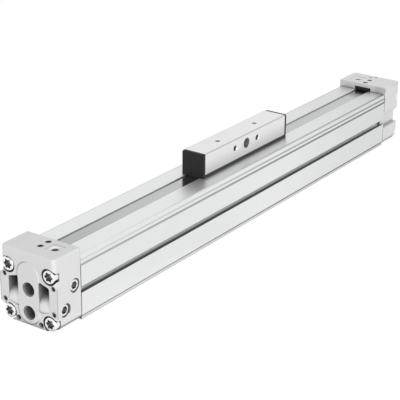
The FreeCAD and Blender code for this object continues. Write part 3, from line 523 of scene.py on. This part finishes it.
@made_once
def shot_blasted_casting():
    """Blasted casting, with painted shadow lines, painted shade in its cored pockets and holes,
    painted light on the pockets' boss and the far cap's top, and painted highlights at its hole
    mouths.
    """
    finish = settings()[0]
    material = finish_material(finish.cast, metallic=0.30, roughness=0.55,
                               grain_scale=(1500.0, 1500.0, 1500.0), grain_depth=0.025 * MM,
                               cloud=0.04, edge_radius=2 * finish.edge_radius,
                               recess_reach=10 * MM, recess_dark=0.86, recess_start=0.72,
                               recess_full=0.34)
    x, y, z = coordinates(material)
    ends = abs(x)
    width = abs(y)
    low, high = box_of("far_channel_plug")
    from_channel = distance(ends, z, ((low.x + high.x) / 2, (low.z + high.z) / 2))
    pocket = (ends.within(*POCKET_ALONG, rise=0.5 * MM) * width.within(*POCKET_ACROSS)
              * z.within(*POCKET_UP, rise=0.3 * MM))
    # Painted shade on the cored pockets' walls, away from the channel's boss.
    hollow = pocket * from_channel.ramp(CHANNEL_BOSS_RADIUS, CHANNEL_BOSS_RADIUS + 1.35 * MM,
                                        0.0, 0.60)
    # One dark grey for the painted shade in the pockets, the shadow lines and the holes.
    shade_over(material, strongest(hollow, *cap_lines(x, y, z), *cap_holes(x, y, z)), grey(0.06))
    # Painted light on the boss in the pockets, strongest low down.
    boss = (pocket * from_channel.ramp(CHANNEL_BOSS_RADIUS, CHANNEL_BOSS_RADIUS - 0.15 * MM)
            * z.ramp(21.6 * MM, 17.5 * MM, 0.0, 0.7))
    shade_over(material, boss, grey(0.86))
    top = box_of("far_end_cap")[1].z
    # Painted light on the far cap's top.
    far_top_painted_light = z.ramp(top - 1.0 * MM, top - 0.5 * MM) * x.ramp(0.0, 0.2, 0.0, 0.30)
    # Painted highlight at the mouths of the holes in the caps' tops.
    hole_mouth_highlight = (z.within(top - 1.0 * MM, top - 0.4 * MM, rise=0.3 * MM, fall=0.06 * MM)
                   * ends.within(*MOUTHS_ALONG)
                   * width.ramp(MOUTHS_ACROSS, MOUTHS_ACROSS - 0.2 * MM))
    shade_over(material, strongest(far_top_painted_light, hole_mouth_highlight), grey(0.90))
    return material


@made_once
def milled_and_anodised():
    """Milled block, with painted shade low on its flanks where they face the barrel, a fine
    painted shade line along its top edges, a painted shadow along its foot and painted highlights
    at its top hole mouths.
    """
    finish = settings()[0]
    material = finish_material(finish.milled, metallic=0.85, roughness=0.38,
                               grain_scale=(60.0, 3000.0, 3000.0), grain_depth=0.004 * MM,
                               cloud=0.02, recess_reach=8 * MM, recess_dark=0.72)
    y, z = coordinates(material)[1:]
    low, high = box_of("carriage_body")
    flank = abs(y)
    # Painted shade line along the top edges.
    edge = flank.line(high.y - 0.4 * MM, 0.6 * MM) * z.line(high.z - 0.4 * MM, 0.8 * MM)
    # Painted shade low on the flanks, where they face the barrel.
    lower = (flank.ramp(high.y - 0.4 * MM, high.y - 0.2 * MM)
             * z.ramp(high.z - 3 * MM, low.z, 0.0, 0.18))
    # Painted shadow along the foot, where the carriage meets the barrel.
    foot = z.ramp(low.z + 1.5 * MM, low.z + 1.0 * MM, 0.0, 0.97)
    shade_over(material, strongest(edge.ramp(0.0, 1.0, 0.0, 0.35), lower, foot), grey(0.02))
    # Painted highlight at the mouths of the top holes.
    hole_mouth_highlight = (flank.ramp(5.2 * MM, 5.0 * MM)
                   * z.within(high.z - 0.6 * MM, high.z - 0.04 * MM, fall=0.04 * MM))
    shade_over(material, hole_mouth_highlight, grey(0.92))
    return material


@made_once
def tapped_wall_painted_shade_and_highlight():
    """Cut threads, painted dark as shade in their holes and between their ridges, with a painted
    highlight at the carriage's top.
    """
    # Its dark base colour is painted shade inside the threaded holes.
    material = finish_material((0.35, 0.35, 0.355), metallic=0.85, roughness=0.40,
                               grain_scale=(900.0, 900.0, 900.0), grain_depth=0.004 * MM,
                               recess_reach=5 * MM, recess_dark=0.92, recess_start=0.85,
                               recess_full=0.40)
    z = coordinates(material)[2]
    top = box_of("carriage_body")[1].z
    # Painted highlight round the mouths of the carriage's top holes.
    shade_over(material, z.ramp(top - 1.0 * MM, top - 0.8 * MM, 0.0, 0.6), grey(0.92))
    return material


@made_once
def blackened_steel():
    """Blackened steel of the small grub screws."""
    return finish_material((0.05, 0.05, 0.052), metallic=0.6, roughness=0.42,
                           grain_scale=(900.0, 900.0, 900.0), grain_depth=0.006 * MM, cloud=0.06,
                           edge_light=0.05)


@made_once
def far_gasket_painted_light():
    """Pale grey painted on the far flat gasket as painted light; the near gasket is the same part
    in black rubber.
    """
    return finish_material((0.50, 0.50, 0.49), metallic=0.0, roughness=0.7,
                           grain_scale=(1100.0, 1100.0, 1100.0), grain_depth=0.015 * MM,
                           cloud=0.10, edge_light=0.02, shine=0.2)


@made_once
def rolled_steel_strip():
    """Bright rolled strip, darker towards the near end."""
    material = finish_material(settings()[0].strip, metallic=1.0, roughness=0.18,
                               grain_scale=(20.0, 5000.0, 5000.0), grain_depth=0.003 * MM,
                               rough_swing=0.03, edge_radius=0.05 * MM)
    x = coordinates(material)[0]
    # Darker towards the near end, and a little darker all along.
    shade_over(material, x.ramp(-0.205, -0.10, 0.20, 0.06), grey(0.05))
    return material


@made_once
def plated_fastener():
    """Bright plating of screws and plugs, with painted shade in their sockets."""
    return finish_material(settings()[0].fastener, metallic=1.0, roughness=0.28,
                           grain_scale=(900.0, 900.0, 900.0), grain_depth=0.006 * MM, cloud=0.04,
                           edge_radius=0.12 * MM, recess_reach=6 * MM, recess_start=0.80,
                           recess_full=0.45)


@made_once
def moulded_black_plastic():
    """Black plastic of the end plates, the band shoes and the clamp blocks."""
    return finish_material(settings()[0].plastic, metallic=0.0, roughness=0.48,
                           grain_scale=(2200.0, 2200.0, 2200.0), grain_depth=0.018 * MM,
                           cloud=0.10, edge_light=0.02, shine=0.25)


@made_once
def seal_rubber():
    """Black rubber of the seals, the rings and the near gasket."""
    return finish_material(settings()[0].rubber, metallic=0.0, roughness=0.62,
                           grain_scale=(1400.0, 1400.0, 1400.0), grain_depth=0.015 * MM,
                           cloud=0.12, edge_light=0.015, shine=0.2)


@made_once
def turned_brass():
    """Brass of the cushion sleeves."""
    return finish_material((0.72, 0.55, 0.25), metallic=1.0, roughness=0.30,
                           grain_scale=(1200.0, 1200.0, 1200.0), grain_depth=0.006 * MM,
                           cloud=0.05)


@made_once
def turned_aluminium():
    """Turned and milled aluminium of the yoke and the piston."""
    return finish_material((0.66, 0.67, 0.69), metallic=0.95, roughness=0.34,
                           grain_scale=(1800.0, 300.0, 300.0), grain_depth=0.006 * MM, cloud=0.04)


@made_once
def bearing_plastic():
    """Buff plastic of the guide rings."""
    return finish_material((0.56, 0.50, 0.36), metallic=0.0, roughness=0.45,
                           grain_scale=(900.0, 900.0, 900.0), grain_depth=0.01 * MM, cloud=0.06,
                           edge_light=0.04)


@made_once
def sealing_plastic():
    """Tan plastic of the inner band."""
    return finish_material((0.42, 0.38, 0.30), metallic=0.0, roughness=0.42,
                           grain_scale=(60.0, 1500.0, 1500.0), grain_depth=0.008 * MM, cloud=0.06,
                           edge_light=0.04)


@made_once
def bonded_magnet():
    """Dark bonded powder of the ring magnets."""
    return finish_material((0.10, 0.10, 0.105), metallic=0.0, roughness=0.55,
                           grain_scale=(1600.0, 1600.0, 1600.0), grain_depth=0.015 * MM,
                           cloud=0.15, edge_light=0.03)


def dress(material, *nodes):
    """Gives CAD nodes a finish through their material slots."""
    for name in nodes:
        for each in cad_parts[name].material_slots:
            each.material = material


def both(*names):
    """The nodes of these names at both ends."""
    return [side + "_" + name for side in ENDS for name in names]


def mesh_object(name, bm, material):
    """Turns a bmesh into an object at the origin with one finish."""
    mesh = bpy.data.meshes.new(name)
    bmesh.ops.recalc_face_normals(bm, faces=bm.faces)
    bm.to_mesh(mesh)
    bm.free()
    obj = bpy.data.objects.new(name, mesh)
    bpy.context.collection.objects.link(obj)
    mesh.materials.append(material)
    return obj


def new_vertices(extruded):
    return [v for v in extruded["geom"] if isinstance(v, bmesh.types.BMVert)]


def strip_piece(name, profile, width, thickness, material):
    """A flat strip whose upper side follows (x, z) points, extruded across and down."""
    bm = bmesh.new()
    upper = [bm.verts.new((x, -width / 2, z)) for x, z in profile]
    edges = [bm.edges.new(pair) for pair in zip(upper, upper[1:])]
    across = bmesh.ops.extrude_edge_only(bm, edges=edges)
    bmesh.ops.translate(bm, verts=new_vertices(across), vec=(0, width, 0))
    down = bmesh.ops.extrude_face_region(bm, geom=bm.faces[:])
    bmesh.ops.translate(bm, verts=new_vertices(down), vec=(0, 0, -thickness))
    return mesh_object(name, bm, material)


def carriage_middle():
    low, high = box_of("carriage_body")
    return (low.x + high.x) / 2


def split_band(node, thickness, lift, run, material):
    """A band in two lengths that meet over the yoke, each running from its cap's end to the
    carriage's middle, raised or lowered over the carriage."""
    low, high = box_of(node)
    level = high.z - max(lift, 0.0)
    middle = carriage_middle()
    half = settings()[1].lift_half
    for side, sign in ENDS.items():
        end = outer_end(node, sign)
        ramp_end = middle + sign * (half + run)
        profile = [(end, level), (ramp_end, level), (middle + sign * half, level + lift),
                   (middle, level + lift)]
        if sign > 0:
            profile.reverse()
        piece = strip_piece(side + "_" + node + "_length", profile, high.y - low.y, thickness,
                            material)
        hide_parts(node)
        if sign < 0:
            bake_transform(piece)
        else:
            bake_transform(piece)


def moulded_block(bm, along, across, up, radius, upright_only=False):
    """A block between two values of x, of y and of z, with softened edges."""
    low = Vector([min(pair) for pair in (along, across, up)])
    high = Vector([max(pair) for pair in (along, across, up)])
    made = bmesh.ops.create_cube(bm, size=1.0)["verts"]
    bmesh.ops.scale(bm, vec=high - low, verts=made)
    bmesh.ops.translate(bm, vec=(low + high) / 2, verts=made)
    edges = list(dict.fromkeys(e for v in made for e in v.link_edges))
    if upright_only:
        tall = 0.5 * (high.z - low.z)
        edges = [e for e in edges if abs(e.verts[0].co.z - e.verts[1].co.z) > tall]
    bmesh.ops.bevel(bm, geom=edges, offset=radius, offset_type="OFFSET", segments=3, profile=0.5,
                    affect="EDGES", clamp_overlap=True, material=-1)


def wind_thread(bm, hole, pitch, mouth, inward):
    """A ridge of triangular section wound along a hole's wall from its mouth inwards."""
    shape = settings()[1]
    steps = shape.thread_steps
    inward = Vector(inward)
    across = inward.orthogonal().normalized()
    wall = hole["radius"] + RIDGE_SUNK
    half = RIDGE_HALF_FOOT * pitch
    start = Vector(mouth) + inward * half
    corners = [start + across * wall - inward * half, start + across * wall + inward * half,
               start + across * (hole["radius"] - shape.ridge_share * pitch)]
    verts = [bm.verts.new(corner) for corner in corners]
    ridge = bm.faces.new(verts)
    count = int((hole["depth"] / pitch - 1) * steps)
    bmesh.ops.spin(bm, geom=[*verts, *ridge.edges, ridge], cent=mouth, axis=inward,
                   dvec=inward * (pitch / steps), angle=2 * math.pi * count / steps, steps=count,
                   use_merge=False, use_duplicate=False, use_normal_flip=False)


def thread_piece(name, holes, pitch, material, body):
    """The wound threads of several holes: (hole, mouth, inward)."""
    bm = bmesh.new()
    for hole, mouth, inward in holes:
        wind_thread(bm, hole, pitch, mouth, inward)
    piece = mesh_object(name, bm, material)
    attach(piece, body)


class CylinderProfile(bpy.types.Operator):
    """Gives the extruded barrel its anodised finish"""
    bl_idname = "object.cylinder_profile"
    bl_label = "Barrel"

    def execute(self, context):
        dress(anodised_extrusion(), "barrel")
        return {"FINISHED"}


class CylinderCaps(bpy.types.Operator):
    """Gives the cast end caps their blasted finish"""
    bl_idname = "object.cylinder_caps"
    bl_label = "End caps"

    def execute(self, context):
        dress(shot_blasted_casting(), *both("end_cap"))
        return {"FINISHED"}


class CylinderFasteners(bpy.types.Operator):
    """Gives the screws and plugs their plated or blackened finish"""
    bl_idname = "object.cylinder_fasteners"
    bl_label = "Screws and plugs"

    def execute(self, context):
        dress(plated_fastener(), "far_port_plugs", "yoke_screws", "foot_screws",
              *both("cap_screws", "cushion_screw", "channel_plug"))
        dress(blackened_steel(), *both("clamp_grub_screws"))
        return {"FINISHED"}


class CylinderSeals(bpy.types.Operator):
    """Gives the far gasket its pale painted light and the near gasket, rings, buffers and seals
    their rubber
    """
    bl_idname = "object.cylinder_seals"
    bl_label = "Gaskets and seals"

    def execute(self, context):
        dress(far_gasket_painted_light(), "far_cap_gasket")
        dress(seal_rubber(), "near_cap_gasket",
              *both("spigot_o_ring", "end_buffer", "piston_seal", "cushion_seal"))
        return {"FINISHED"}


class CylinderClamps(bpy.types.Operator):
    """Moulds the two black blocks that hold the cover band under the caps"""
    bl_idname = "object.cylinder_clamps"
    bl_label = "Band clamps"

    def execute(self, context):
        shape = settings()[1]
        seat = box_of("barrel")[1].z + CLAMP_GAP
        half = shape.clamp_width / 2
        for side, sign in ENDS.items():
            node = side + "_band_clamp"
            low, high = box_of(node)
            outer = outer_end(node, sign)
            face = outer_end(side + "_cap_gasket", sign) - sign * shape.clamp_reach
            set_back = face + sign * TONGUE_SETBACK
            bm = bmesh.new()
            moulded_block(bm, (face, outer), (-half, half), (seat, high.z), CLAMP_EDGE)
            moulded_block(bm, (set_back, outer), (-TONGUE_HALF_WIDTH, TONGUE_HALF_WIDTH),
                          (low.z, seat + TONGUE_OVERLAP), SMALL_EDGE, upright_only=True)
            for rib in RIB_PLACES:
                moulded_block(bm, (face - sign * RIB_HEIGHT, set_back),
                              (rib - RIB_HALF_WIDTH, rib + RIB_HALF_WIDTH),
                              (seat + RIB_MARGIN, high.z - RIB_MARGIN), SMALL_EDGE)
            piece = mesh_object(side + "_clamp_block", bm, moulded_black_plastic())
            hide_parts(node)
            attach(piece, "cylinder")
        return {"FINISHED"}


class CylinderBands(bpy.types.Operator):
    """Lays the cover band and the inner band, raised and lowered where the yoke is"""
    bl_idname = "object.cylinder_bands"
    bl_label = "Sealing bands"

    def execute(self, context):
        shape = settings()[1]
        split_band("cover_band", COVER_BAND_THICKNESS, shape.band_lift, shape.lift_run,
                   rolled_steel_strip())
        low, high = box_of("inner_band")
        dip = high.z - low.z - INNER_BAND_THICKNESS
        split_band("inner_band", INNER_BAND_THICKNESS, -dip, shape.dip_run, sealing_plastic())
        return {"FINISHED"}


class CylinderCarriage(bpy.types.Operator):
    """Gives the carriage, its end plates, shoes and seal strips their finishes"""
    bl_idname = "object.cylinder_carriage"
    bl_label = "Carriage"

    def execute(self, context):
        dress(milled_and_anodised(), "carriage_body")
        dress(seal_rubber(), "front_seal_strip", "rear_seal_strip")
        dress(moulded_black_plastic(), *both("end_plate", "band_shoe"))
        return {"FINISHED"}


class CylinderPiston(bpy.types.Operator):
    """Gives the inner pieces their finishes"""
    bl_idname = "object.cylinder_piston"
    bl_label = "Piston group"

    def execute(self, context):
        dress(turned_aluminium(), "yoke", "piston_core", *both("piston"))
        dress(bearing_plastic(), *both("guide_ring"))
        dress(bonded_magnet(), *both("magnet"))
        dress(turned_brass(), *both("cushion_sleeve"))
        return {"FINISHED"}


class CylinderThreads(bpy.types.Operator):
    """Winds the threads in the ports and in the screw holes"""
    bl_idname = "object.cylinder_threads"
    bl_label = "Threads"

    def execute(self, context):
        shape = settings()[1]
        self.near_face(shape.port_pitch, shape.screw_pitch)
        for side, sign in ENDS.items():
            self.cap(side, sign, shape.screw_pitch)
        self.carriage(shape.screw_pitch)
        return {"FINISHED"}

    def near_face(self, port_pitch, screw_pitch):
        """The two open ports and the holes in the near cap's swellings."""
        tip = outer_end("near_end_cap", -1)
        thread_piece("near_port_threads",
                     [(PORT, (tip + PORT_CHAMFER, 0, z), (1, 0, 0)) for z in PORT_HEIGHTS],
                     port_pitch, shot_blasted_casting(), "cylinder")
        thread_piece("near_end_hole_threads",
                     [(END_HOLE, (tip, flank * END_HOLE_ACROSS, z), (1, 0, 0))
                      for flank in (-1, 1) for z in END_HOLE_HEIGHTS],
                     screw_pitch, shot_blasted_casting(), "cylinder")

    def cap(self, side, sign, pitch):
        """The holes at a cap's foot and the one in its top."""
        tip = outer_end(side + "_end_cap", sign)
        top = box_of(side + "_end_cap")[1].z
        foot = tip - sign * FOOT_HOLE_CHAMFER
        thread_piece(side + "_foot_hole_threads",
                     [(FOOT_HOLE, (foot, y, FOOT_HOLE_HEIGHT), (-sign, 0, 0))
                      for y in (-FOOT_HOLE_ACROSS, FOOT_HOLE_ACROSS)],
                     pitch, shot_blasted_casting(), "cylinder")
        mouth = (tip - sign * TOP_HOLE_SETBACK, sign * TOP_HOLE_ACROSS, top - TOP_HOLE_DROP)
        thread_piece(side + "_top_hole_threads", [(TOP_HOLE, mouth, (0, 0, -1))],
                     pitch, tapped_wall_painted_shade_and_highlight(), "cylinder")

    def carriage(self, pitch):
        """The holes in the carriage's top and in both of its sides."""
        high = box_of("carriage_body")[1]
        middle = carriage_middle()
        top = [(CARRIAGE_TOP_HOLE, (middle + x, 0, high.z - CARRIAGE_COUNTERSINK), (0, 0, -1))
               for x in (-CARRIAGE_TOP_SPREAD, CARRIAGE_TOP_SPREAD)]
        wall = high.y - CARRIAGE_COUNTERSINK
        sides = [(CARRIAGE_SIDE_HOLE, (middle + x, flank * wall, CARRIAGE_SIDE_HEIGHT),
                  (0, -flank, 0))
                 for x in (-CARRIAGE_SIDE_SPREAD, CARRIAGE_SIDE_SPREAD) for flank in (-1, 1)]
        thread_piece("carriage_threads", top + sides, pitch, tapped_wall_painted_shade_and_highlight(),
                     "carriage")


class CylinderStudio(bpy.types.Operator):
    """Sets up the camera, the lamp, the sky and the floor"""
    bl_idname = "object.cylinder_studio"
    bl_label = "Studio"

    def execute(self, context):
        stage = settings()[2]
        scene = context.scene
        scene.camera = self.camera(scene, stage)
        scene.world = self.sky(stage.sky)
        self.lamp(scene, stage)
        self.floor(stage.floor)
        scene.view_settings.view_transform = "Standard"
        return {"FINISHED"}

    def camera(self, scene, stage):
        lens = bpy.data.cameras.new("camera")
        lens.lens = stage.lens
        camera = bpy.data.objects.new("camera", lens)
        camera.location = stage.camera_place
        camera.rotation_euler = stage.camera_turn
        scene.collection.objects.link(camera)
        return camera

    def lamp(self, scene, stage):
        """A large square lamp turned towards the origin."""
        light = bpy.data.lights.new("key_lamp", "AREA")
        light.shape = "SQUARE"
        light.size = stage.lamp_size
        light.energy = stage.lamp_power
        lamp = bpy.data.objects.new("key_lamp", light)
        lamp.location = stage.lamp_place
        lamp.rotation_euler = (-Vector(stage.lamp_place)).to_track_quat("-Z", "Y").to_euler()
        scene.collection.objects.link(lamp)

    def sky(self, strength):
        """An even white sky that shows white to the camera but lights the object less."""
        world = bpy.data.worlds.new("studio_sky")
        world.use_nodes = True
        tree = world.node_tree
        background = tree.nodes["Background"]
        background.inputs["Color"].default_value = (1.0, 1.0, 1.0, 1.0)
        tree.links.new(self.seen(tree, strength, 1.0), background.inputs["Strength"])
        return world

    def seen(self, tree, otherwise, value):
        """A value for rays that see the backdrop, straight on or in a gloss or glass, and
        another for all other rays."""
        path = add(tree, "LightPath")
        rays = [Reading(tree, path.outputs[name])
                for name in ("Is Camera Ray", "Is Glossy Ray", "Is Transmission Ray")]
        pick = add(tree, "MapRange", To_Min=otherwise, To_Max=value)
        tree.links.new(strongest(*rays).socket, pick.inputs["Value"])
        return pick.outputs["Result"]

    def floor(self, tint):
        bm = bmesh.new()
        bmesh.ops.create_grid(bm, x_segments=1, y_segments=1, size=FLOOR_HALF)
        material = bpy.data.materials.new("floor_paper")
        material.use_nodes = True
        tree = material.node_tree
        shader = tree.nodes["Principled BSDF"]
        shader.inputs["Base Color"].default_value = rgba(tint)
        shader.inputs["Roughness"].default_value = 0.9
        glow = add(tree, "Emission", Strength=FLOOR_GLOW)
        mix = add(tree, "MixShader")
        tree.links.new(self.seen(tree, 0.0, FLOOR_GLOW_SHARE), mix.inputs[0])
        tree.links.new(shader.outputs[0], mix.inputs[1])
        tree.links.new(glow.outputs[0], mix.inputs[2])
        tree.links.new(mix.outputs[0], tree.nodes["Material Output"].inputs["Surface"])
        mesh_object("floor", bm, material)


STEPS = (CylinderProfile, CylinderCaps, CylinderFasteners, CylinderSeals, CylinderClamps,
         CylinderBands, CylinderCarriage, CylinderPiston, CylinderThreads, CylinderStudio)


class CylinderPanel(bpy.types.Panel):
    """Lists the steps in the sidebar"""
    bl_idname = "VIEW3D_PT_cylinder"
    bl_label = "Rodless cylinder"
    bl_space_type = "VIEW_3D"
    bl_region_type = "UI"
    bl_category = "Cylinder"

    def draw(self, context):
        for step in STEPS:
            self.layout.operator(step.bl_idname)
        for group in settings():
            for name in group.__annotations__:
                self.layout.prop(group, name)


CLASSES = (CylinderFinish, CylinderShape, CylinderStage, *STEPS, CylinderPanel)


def register():
    for each in CLASSES:
        bpy.utils.register_class(each)
    bpy.types.Scene.cylinder_finish = PointerProperty(type=CylinderFinish)
    bpy.types.Scene.cylinder_shape = PointerProperty(type=CylinderShape)
    bpy.types.Scene.cylinder_stage = PointerProperty(type=CylinderStage)


def unregister():
    del bpy.types.Scene.cylinder_stage
    del bpy.types.Scene.cylinder_shape
    del bpy.types.Scene.cylinder_finish
    for each in reversed(CLASSES):
        bpy.utils.unregister_class(each)


def main():
    """Dresses the part step by step."""
    register()
    for step in STEPS:
        getattr(bpy.ops.object, step.bl_idname.removeprefix("object."))()


if __name__ == "__main__":
    main()
